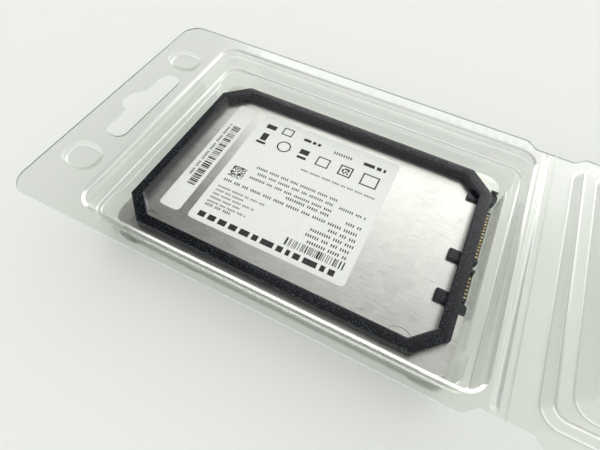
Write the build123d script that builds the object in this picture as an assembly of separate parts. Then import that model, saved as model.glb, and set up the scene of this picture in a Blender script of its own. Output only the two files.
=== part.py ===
from build123d import *
import math
import os

# A clear thermoformed hang pack, opened flat, with a 2.5 inch drive in its tray.
# Millimetres. The origin is the middle of the tray floor's underside, below the drive.
# +X points to the fold and the lid, +Y away from the near long side, +Z up.

# Film of the tray and the lid
film = 0.4
flange_top = 19.0
wall_draft = 1.2

# Drive
drive_length = 100.3
drive_width = 69.85
drive_height = 7.0
drive_corner = 5.0
case_wall = 1.2
case_floor = 1.0
cover_thickness = 1.2

# Fixing posts of the drive, as every 2.5 inch drive has them
post_from_plug_end = 14.0
post_from_hang_end = 9.7
post_from_side = 4.065
post_radius = 4.3
post_mark_depth = 0.15
fixing_hole_radius = 1.25
fixing_hole_depth = 2.6
side_hole_height = 3.0
side_hole_depth = 2.4

# Spacer frame on the drive's cover
spacer_hang_margin = 0.71
spacer_plug_margin = 2.19
spacer_side_margin = 2.325
spacer_height = 2.5
spacer_chamfer_x = 7.55
spacer_chamfer_y = 7.26
spacer_bar_long = 3.4
spacer_bar_hang = 3.3
spacer_bar_plug = 3.85
spacer_bar_cut = 1.5
spacer_edge = 0.35
tab_length = 3.1
tab_width = 4.0
tab_height = 0.8
tab_corner = 0.6
tab_places = (-13.7, 0.1, 23.8)

# Labels on the cover
label_thickness = 0.1
label_corner = 1.4
main_label_length = 50.3
main_label_width = 48.6
serial_label_length = 7.0
serial_label_width = 48.4
label_shift_y = 0.8
label_from_bar = 4.4
label_gap = 3.1

# Plug at the drive's end: two tongues with contacts between guide blocks
plug_centre_y = 5.7
contact_pitch = 1.27
contact_width = 0.6
contact_thickness = 0.1
contact_length = 1.7
power_contact_count = 15
signal_contact_count = 7
tongue_margin = 1.395
tongue_gap = 2.41
tongue_thickness = 1.2
tongue_depth = 1.9
tongue_key_width = 1.0
tongue_key_height = 1.1
guide_gap_far = 2.8
guide_gap_near = 1.3
guide_width = 3.9
guide_proud = 0.2
plug_base_depth = 5.4
plug_clearance = 0.3

# Circuit board and what is on it
board_length = 66.5
board_thickness = 1.0
board_height = 2.5
board_side_gap = 1.7
board_end_gap = 3.2
board_corner = 1.0
post_clearance = 0.5
standoff_radius = 2.2
screw_radius = 0.9
screw_hole_gap = 0.15
screw_head_radius = 1.9
screw_head_height = 0.9
screw_from_end = 9.0
screw_from_side = 10.5
screw_from_back = 3.5
flash_length = 14.0
flash_width = 18.0
flash_height = 1.0
flash_from_back = (26.0, 9.5)
flash_from_side = 12.0
controller_size = 15.0
controller_height = 1.1
controller_from_end = 19.0
controller_y = 11.0
memory_length = 10.0
memory_width = 12.0
memory_height = 1.0
memory_y = -8.5
inductor_size = 4.0
inductor_height = 1.6
inductor_from_end = 33.0
inductor_y = -5.0
capacitor_size = (0.8, 1.6, 0.8)
capacitor_count = 8
capacitor_pitch = 3.0
capacitor_from_end = 9.0
pad_size = 13.0

# Tray pocket round the drive, let out at its four corners
seat_gap = 0.5
relief_reach = 1.1
relief_reach_y = 0.6
relief_length = 8.0
relief_slope = 1.2
relief_corner = 3.4
floor_bevel = 0.6
mouth_bevel = 0.7

# Wider recess above the pocket, which the lid's plug enters
recess_depth = 7.3
recess_hang_margin = 2.65
recess_fold_margin = 3.75
recess_side_margin = 2.3
recess_corner = 4.5
ledge_bevel = 0.5
rim_bevel = 0.55

# Lock groove that runs round the recess wall
groove_from_top = 1.8
groove_height = 1.0
groove_depth = 0.25

# Flange round the recess
flange_hang_margin = 19.5
flange_side_margin = 5.3
flange_corner = 6.0
fold_margin = 5.4
fold_gap = 0.3
neck_inset = 2.7
neck_start = 8.3
neck_run = 2.4
neck_round = 2.2
bead_from_fold = 2.5
bead_width = 1.8
bead_depth = 0.4
bead_end_gap = 1.0

# Hang slot in both flanges
slot_from_edge = 11.85
slot_width = 6.7
slot_length = 30.5
slot_corner = 2.9
crown_radius = 5.05
crown_shift = 2.05

# Snap cups in the tray flange and snap studs on the lid flange
snap_from_edge = 9.4
snap_spacing = 49.8
cup_length = 10.6
cup_width = 8.8
cup_corner = 3.8
cup_depth = 1.8
cup_draft = 15.0
cup_bevel = 0.4
snap_gap = 0.3

# Lid plug: a low step, then a plateau that stops the drive from lifting
closed_gap = 0.3
plug_side_gap = 0.3
step_height = 3.4
step_draft = 17.0
plateau_draft = 14.5
plateau_inset_x = 4.5
plateau_inset_y = 3.3
plateau_corner = 4.0
plug_bevel = 0.8

# Places worked out from the sizes above
film_bevel = film * (2 - math.sqrt(2))
pocket_half_length = drive_length / 2 + seat_gap
pocket_half_width = drive_width / 2 + seat_gap
recess_low = -pocket_half_length - recess_hang_margin
recess_high = pocket_half_length + recess_fold_margin
recess_half_width = pocket_half_width + recess_side_margin
flange_low = recess_low - flange_hang_margin
flange_half_width = recess_half_width + flange_side_margin
neck_half_width = flange_half_width - neck_inset
fold_x = recess_high + fold_margin
fold_z = flange_top + closed_gap / 2
ledge_top = flange_top - recess_depth
drive_bottom = film
drive_top = drive_bottom + drive_height
cover_bottom = drive_top - cover_thickness
spacer_top = drive_top + spacer_height
drive_end = drive_length / 2
board_bottom = drive_bottom + board_height
board_top = board_bottom + board_thickness
board_high = drive_end - board_end_gap
board_half = drive_width / 2 - case_wall - board_side_gap
spacer_low = -drive_end + spacer_hang_margin
spacer_high = drive_end - spacer_plug_margin
spacer_half = drive_width / 2 - spacer_side_margin
window_low = spacer_low + spacer_bar_hang
window_high = spacer_high - spacer_bar_plug
serial_label_low = window_low + label_from_bar
main_label_low = serial_label_low + serial_label_length + label_gap
plateau_height = flange_top - spacer_top
power_width = (power_contact_count - 1) * contact_pitch + 2 * tongue_margin
signal_width = (signal_contact_count - 1) * contact_pitch + 2 * tongue_margin
tongue_total = power_width + tongue_gap + signal_width
power_y = plug_centre_y + tongue_total / 2 - power_width / 2
signal_y = plug_centre_y - tongue_total / 2 + signal_width / 2
far_guide_y = plug_centre_y + tongue_total / 2 + guide_gap_far + guide_width / 2
near_guide_y = plug_centre_y - tongue_total / 2 - guide_gap_near - guide_width / 2
plug_low = near_guide_y - guide_width / 2
plug_high = far_guide_y + guide_width / 2
plug_face = drive_end - tongue_depth - guide_proud
tongue_bottom = board_top - tongue_thickness / 4
tongue_top = tongue_bottom + tongue_thickness


def span_plan(x_low, x_high, half_width, corner):
    """A rounded rectangle from two X limits and a half width."""
    plan = RectangleRounded(x_high - x_low, 2 * half_width, corner)
    return Pos((x_low + x_high) / 2, 0) * plan


def prism(plan, z_low, z_high, taper=0.0):
    """A plan pulled up from z_low to z_high, leaning in by the taper in degrees."""
    return Pos(0, 0, z_low) * extrude(plan, z_high - z_low, dir=(0, 0, 1), taper=taper)


def block(x_low, x_high, y_low, y_high, z_low, z_high):
    """A plain box from its limits."""
    box = Box(x_high - x_low, y_high - y_low, z_high - z_low)
    return Pos((x_low + x_high) / 2, (y_low + y_high) / 2, (z_low + z_high) / 2) * box


def chip(from_end, y, length, width, height):
    """A flat package that stands on the board, at a distance from the board's plug end."""
    x = board_high - from_end
    return block(x - length / 2, x + length / 2, y - width / 2, y + width / 2, board_top, board_top + height)


def post_places():
    """Centres of the four fixing posts, measured from the drive's ends and sides."""
    y = drive_width / 2 - post_from_side
    return [(x, side * y) for x in (drive_end - post_from_plug_end, post_from_hang_end - drive_end)
            for side in (-1, 1)]


def screw_places():
    """Centres of the board's screws: two at the plug end and one at its back."""
    x = board_high - screw_from_end
    y = board_half - screw_from_side
    return [(x, y), (x, -y), (board_high - board_length + screw_from_back, 0)]


def corner_vertices(plan, x_at, y_at):
    """The vertices of a plan at one X and at plus and minus one Y."""
    return [v for v in plan.vertices() if abs(v.X - x_at) < 1e-3 and abs(abs(v.Y) - y_at) < 1e-3]


def rise(height, degrees):
    """How far a wall that leans by some degrees moves over a height."""
    return height * math.tan(math.radians(degrees))


def sunk(plan_at, floor, top, out, bevel):
    """A tub that widens upwards from a bevelled floor. plan_at gives its outline moved out by a distance."""
    foot = out - rise(top - floor - bevel, wall_draft)
    body = prism(plan_at(foot - bevel), floor, floor + bevel, -45)
    return body + prism(plan_at(foot), floor + bevel, top, -wall_draft)


def flare(plan_at, top, out, bevel):
    """The bevel where a tub's leaning wall meets the flat film at its top."""
    foot = out - rise(out + bevel, wall_draft)
    return prism(plan_at(foot), top - out - bevel, top - out, -45)


def raised(plan_at, base, top, out, draft, bevel):
    """A block that narrows upwards to a bevelled top. plan_at gives its outline moved out by a distance."""
    shoulder = top - bevel
    body = prism(plan_at(out), base, shoulder, draft)
    return body + prism(plan_at(out - rise(shoulder - base, draft)), shoulder, top, 45)


def fold_mirror(shape):
    """The same shape on the other side of the fold line."""
    return mirror(shape, about=Plane.YZ.offset(fold_x))


def flange_plan():
    """The tray's flange: round corners at the hang end, drawn in to a neck at the fold."""
    neck_x = fold_x - neck_start
    points = [
        (flange_low, flange_half_width),
        (neck_x, flange_half_width),
        (neck_x + neck_run, neck_half_width),
        (fold_x - fold_gap / 2, neck_half_width),
    ]
    outline = points + [(x, -y) for x, y in reversed(points)]
    plan = Polygon(*outline, align=None)
    plan = fillet(corner_vertices(plan, flange_low, flange_half_width), flange_corner)
    plan = fillet(corner_vertices(plan, neck_x, flange_half_width), neck_round)
    return fillet(corner_vertices(plan, neck_x + neck_run, neck_half_width), neck_round)


def hang_slot_plan():
    """The wide hang slot with its round crown towards the outer edge."""
    x = flange_low + slot_from_edge
    slot = Pos(x, 0) * RectangleRounded(slot_width, slot_length, slot_corner)
    return slot + Pos(x - crown_shift, 0) * Circle(crown_radius)


def pocket_plan(out):
    """The pocket's outline, let out at each corner, and moved outwards by a distance."""
    main_x = pocket_half_length + out
    main_y = pocket_half_width + out
    wide_x = main_x + relief_reach
    wide_y = main_y + relief_reach_y
    step_x = pocket_half_length - relief_length
    step_y = pocket_half_width - relief_length
    lean = relief_slope / 2
    quarter = [
        (main_x, step_y - lean),
        (wide_x, step_y + lean),
        (wide_x, wide_y),
        (step_x + lean, wide_y),
        (step_x - lean, main_y),
    ]
    outline = quarter
    outline = outline + [(-x, y) for x, y in reversed(quarter)]
    outline = outline + [(-x, -y) for x, y in quarter]
    outline = outline + [(x, -y) for x, y in reversed(quarter)]
    plan = Polygon(*outline, align=None)
    corners = corner_vertices(plan, wide_x, wide_y) + corner_vertices(plan, -wide_x, wide_y)
    return fillet(corners, relief_corner + out)


def recess_plan(out):
    """The recess seen from above at the flange, moved outwards."""
    return span_plan(recess_low - out, recess_high + out, recess_half_width + out, recess_corner + out)


def cavity_body(out):
    """What the tray's film wraps: recess, lock groove and pocket with bevelled bends, moved outwards."""
    share = film_bevel * out / film
    body = sunk(recess_plan, ledge_top - out, flange_top, out, ledge_bevel + share)
    body += flare(recess_plan, flange_top, out, rim_bevel - share)
    groove_top = flange_top - groove_from_top + out / 2
    body += prism(recess_plan(out + groove_depth), groove_top - groove_height - out, groove_top)
    body += sunk(pocket_plan, film - out, ledge_top, out, floor_bevel + share)
    return body + flare(pocket_plan, ledge_top, out, mouth_bevel - share)


def snap_plan(out):
    """A snap seen from above, moved outwards."""
    return RectangleRounded(cup_length + 2 * out, cup_width + 2 * out, cup_corner + out)


def snap_form(out, height, bevel):
    """A snap that stands on zero and narrows to a bevelled end, its plan moved outwards."""
    shoulder = height - bevel
    lean = rise(shoulder, cup_draft)
    base, middle, end = (Pos(0, 0, z) * snap_plan(out - inset)
                         for z, inset in ((0, 0), (shoulder, lean), (height, lean + bevel)))
    return loft([base, middle], ruled=True) + loft([middle, end], ruled=True)


def snap_places():
    """Centres of the two snaps on the tray's flange."""
    x = flange_low + snap_from_edge
    return [(x, side * snap_spacing / 2) for side in (-1, 1)]


def make_base_tray():
    """The tray: flange, recess, ledge and pocket in one film, with cups, slot and fold bead."""
    bead_x = fold_x - bead_from_fold
    bead_half = neck_half_width - bead_end_gap
    flange_under = flange_top - film
    cups = [Pos(x, y, 0) for x, y in snap_places()]
    tray = prism(flange_plan(), flange_under, flange_top) + cavity_body(film)
    tray += block(bead_x - bead_width / 2 - film, bead_x + bead_width / 2 + film,
                  -bead_half - film, bead_half + film, flange_under - bead_depth, flange_under)
    for place in cups:
        tray += place * Pos(0, 0, flange_under) * Rot(180, 0, 0) * snap_form(
            film, cup_depth, cup_bevel + film_bevel)
    tray -= cavity_body(0.0)
    tray -= block(bead_x - bead_width / 2, bead_x + bead_width / 2,
                  -bead_half, bead_half, flange_top - bead_depth, flange_top)
    for place in cups:
        tray -= place * Pos(0, 0, flange_top) * Rot(180, 0, 0) * snap_form(0.0, cup_depth, cup_bevel)
    return tray - prism(hang_slot_plan(), ledge_top, flange_top + film)


def plug_plan(out):
    """The lid's plug seen from above: the recess on the other side of the fold, with a gap all round."""
    return fold_mirror(recess_plan(out - plug_side_gap))


def plateau_plan(out):
    """The plateau on the plug seen from above."""
    x_inset = plateau_inset_x + plug_side_gap - out
    low = 2 * fold_x - recess_high + x_inset
    high = 2 * fold_x - recess_low - x_inset
    half_width = recess_half_width - plateau_inset_y - plug_side_gap + out
    return span_plan(low, high, half_width, plateau_corner + out)


def plug_body(base, inset, drop):
    """The lid's plug as a solid: the low step and the plateau on it, moved inwards and lowered."""
    step_top = flange_top + step_height - drop
    plateau_top = flange_top + plateau_height - drop
    bevel = plug_bevel - film_bevel * drop / film
    step = raised(plug_plan, base, step_top, -inset, step_draft, bevel)
    return step + raised(plateau_plan, step_top, plateau_top, -inset, plateau_draft, bevel)


def make_lid():
    """The lid, opened flat: flange, hollow plug standing up, studs and the same hang slot."""
    wall_lean = math.radians(step_draft)
    inset = film * (1 - math.sin(wall_lean)) / math.cos(wall_lean)
    flange_under = flange_top - film
    stud_height = cup_depth - film - snap_gap
    studs = [Pos(2 * fold_x - x, y, 0) for x, y in snap_places()]
    lid = prism(fold_mirror(flange_plan()), flange_under, flange_top) + plug_body(flange_top, 0.0, 0.0)
    for place in studs:
        lid += place * Pos(0, 0, flange_top) * snap_form(-snap_gap, stud_height, cup_bevel)
    lid -= plug_body(flange_under, inset, film)
    for place in studs:
        lid -= place * Pos(0, 0, flange_under) * snap_form(-snap_gap - film, stud_height, cup_bevel - film_bevel)
    return lid - prism(fold_mirror(hang_slot_plan()), ledge_top, flange_top + film)


def drive_plan(inset=0.0):
    """The drive's outline with round corners."""
    return RectangleRounded(drive_length - 2 * inset, drive_width - 2 * inset, drive_corner - inset)


def plug_notch(z_low, z_high):
    """The opening at the plug end of the drive, as wide as the plug with its guides."""
    return block(plug_face - plug_clearance, drive_end + drive_corner, plug_low - plug_clearance,
                 plug_high + plug_clearance, z_low, z_high)


def make_case_bottom():
    """The drive's tub: floor, walls, four fixing posts, standoffs, and the fixing holes."""
    floor_top = drive_bottom + case_floor
    tub = prism(drive_plan(), drive_bottom, cover_bottom)
    tub = chamfer(tub.edges().group_by(Axis.Z)[0], case_wall / 3)
    tub -= prism(drive_plan(case_wall), floor_top, cover_bottom)
    posts = Part()
    for x, y in post_places():
        posts += Pos(x, y, 0) * prism(Circle(post_radius), floor_top, cover_bottom)
    tub += posts & prism(drive_plan(), floor_top, cover_bottom)
    for x, y in screw_places():
        tub += Pos(x, y, 0) * prism(Circle(standoff_radius), floor_top, board_bottom)
        tub -= Pos(x, y, 0) * prism(Circle(screw_radius + screw_hole_gap), floor_top, board_bottom)
    for x, y in post_places():
        tub -= Pos(x, y, 0) * prism(Circle(fixing_hole_radius), drive_bottom, drive_bottom + fixing_hole_depth)
        side = math.copysign(1, y)
        hole = Rot(90, 0, 0) * Cylinder(fixing_hole_radius, side_hole_depth)
        hole_y = side * (drive_width - side_hole_depth) / 2
        tub -= Pos(x, hole_y, drive_bottom + side_hole_height) * hole
    return tub - plug_notch(tongue_bottom - plug_clearance, cover_bottom)


def make_case_cover():
    """The drive's flat cover, marked by a round dimple over each post, open over the plug."""
    cover = prism(drive_plan(), cover_bottom, drive_top)
    cover = chamfer(cover.edges().group_by(Axis.Z)[-1], case_wall / 4)
    for x, y in post_places():
        cover -= Pos(x, y, 0) * prism(Circle(post_radius), drive_top - post_mark_depth, drive_top)
    return cover - plug_notch(cover_bottom, drive_top)


def chamfered_plan(x_low, x_high, half_width, cut_x, cut_y):
    """A rectangle with its four corners cut off straight."""
    points = [
        (x_low, half_width - cut_y),
        (x_low + cut_x, half_width),
        (x_high - cut_x, half_width),
        (x_high, half_width - cut_y),
    ]
    return Polygon(*(points + [(x, -y) for x, y in reversed(points)]), align=None)


def make_spacer_frame():
    """The spacer: four bars with cut corners, bevelled edges and three tabs at the plug end."""
    outer = chamfered_plan(spacer_low, spacer_high, spacer_half, spacer_chamfer_x, spacer_chamfer_y)
    window = chamfered_plan(window_low, window_high, spacer_half - spacer_bar_long,
                            spacer_chamfer_x - spacer_bar_cut, spacer_chamfer_y - spacer_bar_cut)
    frame = prism(outer - window, drive_top, spacer_top)
    frame = chamfer(frame.edges().group_by(Axis.Z)[-1], spacer_edge)
    for y in tab_places:
        tab = Pos(window_high - tab_length / 2, y) * RectangleRounded(tab_length, tab_width, tab_corner)
        frame += prism(tab, drive_top, drive_top + tab_height)
        frame += block(window_high - tab_corner, window_high + tab_corner, y - tab_width / 2,
                       y + tab_width / 2, drive_top, drive_top + tab_height)
    return frame


def make_circuit_board():
    """The board, cut round the two posts at the plug end, with its screw holes."""
    plan = span_plan(board_high - board_length, board_high, board_half, board_corner)
    board = prism(plan, board_bottom, board_top)
    for x, y in post_places():
        board -= Pos(x, y, 0) * prism(Circle(post_radius + post_clearance), board_bottom, board_top)
    for x, y in screw_places():
        board -= Pos(x, y, 0) * prism(Circle(screw_radius + screw_hole_gap), board_bottom, board_top)
    return board


def make_board_screws():
    """The screws that hold the board on its standoffs."""
    screws = []
    for x, y in screw_places():
        head = prism(Circle(screw_head_radius), board_top, board_top + screw_head_height)
        shank = prism(Circle(screw_radius), drive_bottom + case_floor, board_top)
        screws.append(Pos(x, y, 0) * (head + shank))
    return Compound(children=screws)


def make_capacitors():
    """A row of small capacitors in front of the plug."""
    start = -(capacitor_count - 1) * capacitor_pitch / 2
    row = [chip(capacitor_from_end, start + i * capacitor_pitch, *capacitor_size) for i in range(capacitor_count)]
    return Compound(children=row)


def make_thermal_pad():
    """The soft pad that fills the space between the controller and the cover."""
    x = board_high - controller_from_end
    half = pad_size / 2
    return block(x - half, x + half, controller_y - half, controller_y + half,
                 board_top + controller_height, cover_bottom)


def make_plug_body():
    """The plug's moulding: a base on the board, two keyed tongues and two guide blocks."""
    body = block(plug_face - plug_base_depth, plug_face, plug_low, plug_high, board_top, cover_bottom)
    body += block(board_high, plug_face, plug_low, plug_high, tongue_bottom, board_top)
    tongue_end = plug_face + tongue_depth
    for centre, width, key_side in ((power_y, power_width, -1), (signal_y, signal_width, 1)):
        body += block(plug_face, tongue_end, centre - width / 2, centre + width / 2, tongue_bottom, tongue_top)
        key_y = centre + key_side * (width - tongue_key_width) / 2
        body += block(plug_face, tongue_end, key_y - tongue_key_width / 2, key_y + tongue_key_width / 2,
                      tongue_top, tongue_top + tongue_key_height)
    for guide_y in (near_guide_y, far_guide_y):
        guide = block(plug_face, drive_end + guide_proud, guide_y - guide_width / 2, guide_y + guide_width / 2,
                      tongue_bottom, cover_bottom)
        body += fillet(guide.edges().filter_by(Axis.Z).group_by(Axis.X)[-1], guide_width / 3)
    return body


def make_contacts(count, centre):
    """A row of flat contacts on top of a tongue."""
    start = centre - (count - 1) * contact_pitch / 2
    row = []
    for i in range(count):
        y = start + i * contact_pitch
        row.append(block(plug_face, plug_face + contact_length, y - contact_width / 2, y + contact_width / 2,
                         tongue_top, tongue_top + contact_thickness))
    return Compound(children=row)


def make_label(x_low, length, width):
    """A flat paper label on the drive's cover."""
    place = Pos(x_low + length / 2, label_shift_y, 0)
    return place * prism(RectangleRounded(length, width, label_corner), drive_top, drive_top + label_thickness)


def make_flash_chips():
    """The four storage chips, in two rows of two."""
    y = board_half - flash_from_side
    return [chip(board_length - from_back, side * y, flash_length, flash_width, flash_height)
            for from_back in flash_from_back for side in (-1, 1)]


def build_nodes():
    """Every piece by its node name."""
    nodes = {
        "base_tray": make_base_tray(),
        "lid": make_lid(),
        "case_bottom": make_case_bottom(),
        "case_cover": make_case_cover(),
        "spacer_frame": make_spacer_frame(),
        "circuit_board": make_circuit_board(),
        "board_screws": make_board_screws(),
        "controller_chip": chip(controller_from_end, controller_y, controller_size, controller_size,
                                controller_height),
        "memory_chip": chip(controller_from_end, memory_y, memory_length, memory_width, memory_height),
        "power_inductor": chip(inductor_from_end, inductor_y, inductor_size, inductor_size, inductor_height),
        "capacitors": make_capacitors(),
        "thermal_pad": make_thermal_pad(),
        "plug_body": make_plug_body(),
        "power_contacts": make_contacts(power_contact_count, power_y),
        "signal_contacts": make_contacts(signal_contact_count, signal_y),
        "main_label": make_label(main_label_low, main_label_length, main_label_width),
        "serial_label": make_label(serial_label_low, serial_label_length, serial_label_width),
    }
    for number, shape in enumerate(make_flash_chips(), start=1):
        nodes[f"flash_chip_{number}"] = shape
    return nodes


os.makedirs("parts", exist_ok=True)
for name, shape in build_nodes().items():
    export_step(shape, f"parts/{name}.step")
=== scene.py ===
"""A clear hang pack, opened flat, with a metal drive and its black spacer frame in the tray.

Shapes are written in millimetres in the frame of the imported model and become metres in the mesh.
+X points to the fold and the lid, +Y away from the near long side, +Z up from the table.
A profile has rows of (out, z, bend): how far an outline moves out, its height, and how strongly the
film is bent there, from 0 to 1, which the film's material shows as more gloss.
"""
import math

import bmesh
import bpy
import numpy as np
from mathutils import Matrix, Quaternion
from mathutils.geometry import delaunay_2d_cdt


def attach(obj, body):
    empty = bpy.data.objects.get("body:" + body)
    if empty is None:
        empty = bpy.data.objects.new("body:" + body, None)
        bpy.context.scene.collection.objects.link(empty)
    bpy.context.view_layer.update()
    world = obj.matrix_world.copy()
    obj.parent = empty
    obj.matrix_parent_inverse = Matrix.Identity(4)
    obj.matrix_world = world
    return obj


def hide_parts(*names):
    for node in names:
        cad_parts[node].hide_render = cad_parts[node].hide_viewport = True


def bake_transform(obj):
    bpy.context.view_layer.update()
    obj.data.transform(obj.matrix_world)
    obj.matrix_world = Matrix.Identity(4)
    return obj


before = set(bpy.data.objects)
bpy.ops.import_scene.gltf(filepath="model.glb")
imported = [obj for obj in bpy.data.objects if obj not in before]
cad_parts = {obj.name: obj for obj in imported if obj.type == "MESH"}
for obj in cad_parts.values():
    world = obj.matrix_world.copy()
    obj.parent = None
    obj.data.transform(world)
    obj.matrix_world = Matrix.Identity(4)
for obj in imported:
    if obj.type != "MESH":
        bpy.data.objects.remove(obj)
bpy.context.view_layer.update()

MM = 0.001
rng = np.random.default_rng(11)

# Heights of the film, the drive and the fold
FILM = 0.4
FLANGE_TOP = 19.0
LEDGE_TOP = 11.7
COVER_TOP = 7.4
SPACER_TOP = 9.9
PRINT_TOP = COVER_TOP + 0.1 + 0.02
FOLD_X = 59.8
FOLD_GAP = 0.3
FOLD_THINNED = 0.13

# Recess, pocket and lid plug seen from above
RECESS = dict(low=-53.3, high=54.4, half=37.725, corner=4.5)
POCKET = dict(low=-50.65, high=50.65, half=35.425, corner=3.4, relief=(1.1, 0.6))
PLUG = dict(low=65.5, high=172.6, half=37.425, corner=4.2)
PLATEAU = dict(low=70.0, high=168.1, half=34.125, corner=4.0)
RELIEF_Y = (26.8, 28.2)
RELIEF_X = (42.0, 43.3)

# Walls of the tray: the run per unit of height, the rim, groove and foot of the recess, and the pocket's lip
WALL_LEAN = math.tan(math.radians(1.2))
RIM_OUT = 1.06
GROOVE_TOP = 17.25
GROOVE_END = 16.1
GROOVE_DEPTH = 0.25
GROOVE_BEND = 0.3
FOOT_TOP = 12.28
LIP_OUT = 0.5
LIP_END = 11.2
POCKET_FOOT = 1.1
POCKET_FOOT_REACH = 0.7

# Walls of the lid
STEP_LEAN = math.tan(math.radians(17.0))
STEP_TOP = 22.4
PLATEAU_LEAN = math.tan(math.radians(14.5))
PLATEAU_TOP = 28.1

# Flange, fold bead, snaps and hang slot
FLANGE_LOW = -72.8
FLANGE_HALF = 43.025
FLANGE_CORNER = 6.0
NECK_HALF = 40.325
NECK_RUN = (50.7, 54.7)
NET = 3.0
BEAD_X = 57.3
BEAD_HALF_WIDTH = 1.05
BEAD_HALF_LENGTH = 39.4
BEAD_FADE = 1.2
BEAD_DEPTH = 0.4
SNAP_X = -63.4
SNAP_Y = 24.9
CUP = (10.6, 8.8, 3.8)
CUP_LIP = 0.25
SLOT_X = -60.95
SLOT_HALF_WIDTH = 3.35
SLOT_HALF_LENGTH = 15.25
SLOT_CORNER = 2.9
CROWN_X = SLOT_X - 2.05
CROWN_RADIUS = 5.05

# Spacer frame
SPACER = dict(x_low=-49.44, x_high=47.96, half=32.6, cut_x=7.55, cut_y=7.26)
WINDOW = dict(x_low=-46.14, x_high=44.11, half=29.2, cut_x=6.05, cut_y=5.76)
SPACER_EDGE = 0.4
SPACER_DRAFT = 0.05
TAB = (3.7, 4.0, 0.6)
TAB_TOP = 8.2
TAB_X = 42.86
TAB_Y = (-13.7, 0.1, 23.8)


# Outlines, profiles and meshes

def smooth(t):
    """The smooth step 3t^2 - 2t^3 of t held between 0 and 1."""
    t = np.clip(t, 0, 1)
    return t * t * (3 - 2 * t)


def stretches(stops, steps):
    """Values from each stop to the next in equal steps, with a number of steps for each stretch."""
    runs = [np.linspace(a, b, n, endpoint=False) for a, b, n in zip(stops, stops[1:], steps)]
    return np.concatenate([*runs, stops[-1:]])


def arc(cx, cy, radius, start, end, steps):
    """Points on a circle's arc about (cx, cy), from one angle to another in degrees."""
    a = np.radians(np.linspace(start, end, steps + 1))
    return np.column_stack([cx + radius * np.cos(a), cy + radius * np.sin(a)])


def at_height(loop, z, bent=0.0):
    """An outline as rows of (x, y, z, bend), all at one height and with one share of a bend."""
    return np.column_stack([loop[:, :2], np.full(len(loop), z), np.full(len(loop), bent)])


def quadrant(reach, half, corner, relief):
    """A quarter of a rounded tub from the X axis to the Y axis: a side, an arc and a side.
    Near the corner the sides move out by the relief, along a smooth step."""
    relief_x, relief_y = relief
    (y0, y1), (x0, x1) = RELIEF_Y, RELIEF_X
    arc_x, arc_y = reach + relief_x - corner, half + relief_y - corner
    side_y = stretches([0, y0, y1, arc_y], (7, 6, 3))
    side_x = stretches([arc_x, x1, x0, 0], (3, 6, 11))
    first = np.column_stack([reach + relief_x * smooth((side_y - y0) / (y1 - y0)), side_y])
    last = np.column_stack([side_x, half + relief_y * smooth((side_x - x0) / (x1 - x0))])
    return np.vstack([first[:-1], arc(arc_x, arc_y, corner, 0, 90, 12), last[1:]])


def tub_ring(plan, out, z, bent=0.0):
    """One closed ring of a tub at height z, its outline moved out by a distance: four quadrants joined,
    about X = 0 in the tray and about the tub's middle in the lid."""
    relief = plan.get("relief", (0.0, 0.0))
    centre = (plan["low"] + plan["high"]) / 2 if plan["low"] > 0 else 0.0
    corner = plan["corner"] + out
    right = quadrant(plan["high"] - centre + out, plan["half"] + out, corner, relief)
    left = quadrant(centre - plan["low"] + out, plan["half"] + out, corner, relief)
    loop = np.vstack([
        right[:-1],
        (left * (-1, 1))[::-1][:-1],
        (left * (-1, -1))[:-1],
        (right * (1, -1))[::-1][:-1],
    ])
    return at_height(loop + (centre, 0), z, bent)


def tub_stack(plan, profile):
    """Rings of one tub plan at each row of a profile, as one array."""
    return np.vstack([tub_ring(plan, *row) for row in profile])


def rounded(cx, cy, length, width, corner, steps=8):
    """A closed rounded rectangle about (cx, cy): four arcs whose ends the straight sides join."""
    x, y = length / 2 - corner, width / 2 - corner
    return np.vstack([
        arc(cx + x, cy + y, corner, 0, 90, steps),
        arc(cx - x, cy + y, corner, 90, 180, steps),
        arc(cx - x, cy - y, corner, 180, 270, steps),
        arc(cx + x, cy - y, corner, 270, 360, steps),
    ])


def bend(out0, z0, out1, z1, steps, upright_first=True, strength=1.0):
    """A quarter bend between two (out, z) points of a profile, along an ellipse's quarter, which starts upright
    or level. Its share of the bend is 3 sin(2a) held at 1, times the strength, and zero at both ends."""
    a = np.linspace(0, np.pi / 2, steps + 1)
    bent = np.clip(3 * np.sin(2 * a), 0, 1) * strength
    late, early = 1 - np.cos(a), np.sin(a)
    across, up = (late, early) if upright_first else (early, late)
    return np.column_stack([out0 + (out1 - out0) * across, z0 + (z1 - z0) * up, bent])


def straight(*pairs):
    """Profile points outside any bend, from (out, z) pairs."""
    return np.array([(out, z, 0.0) for out, z in pairs])


def course(out, z, steps, slopes):
    """Profile points walked inward and down from (out, z): each step has a length and a slope in degrees, so
    the curve is the running sum of length * (cos, sin). All points but the two ends are fully bent."""
    steps, slopes = np.array(steps), np.radians(slopes)
    across = out - np.concatenate([[0], np.cumsum(steps * np.cos(slopes))])
    down = z - np.concatenate([[0], np.cumsum(steps * np.sin(slopes))])
    bent = np.ones(len(across))
    bent[[0, -1]] = 0.0
    return np.column_stack([across, down, bent])


def wall_out(z, top):
    """How far out a leaning wall stands at a height below its top: minus the fall times the lean."""
    return -(top - z) * WALL_LEAN


def ring_faces(rings, count):
    """Quads between neighbouring closed rings of equal count, as an index array."""
    r, i = np.meshgrid(np.arange(rings - 1), np.arange(count), indexing="ij")
    a = r * count + i
    b = r * count + (i + 1) % count
    return np.stack([a, b, b + count, a + count], -1).reshape(-1, 4)


def tub_faces(rings, count):
    """The quads between closed rings, and one face that closes the last ring."""
    last = (rings - 1) * count
    return ring_faces(rings, count).tolist() + [list(range(last, last + count))]


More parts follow.
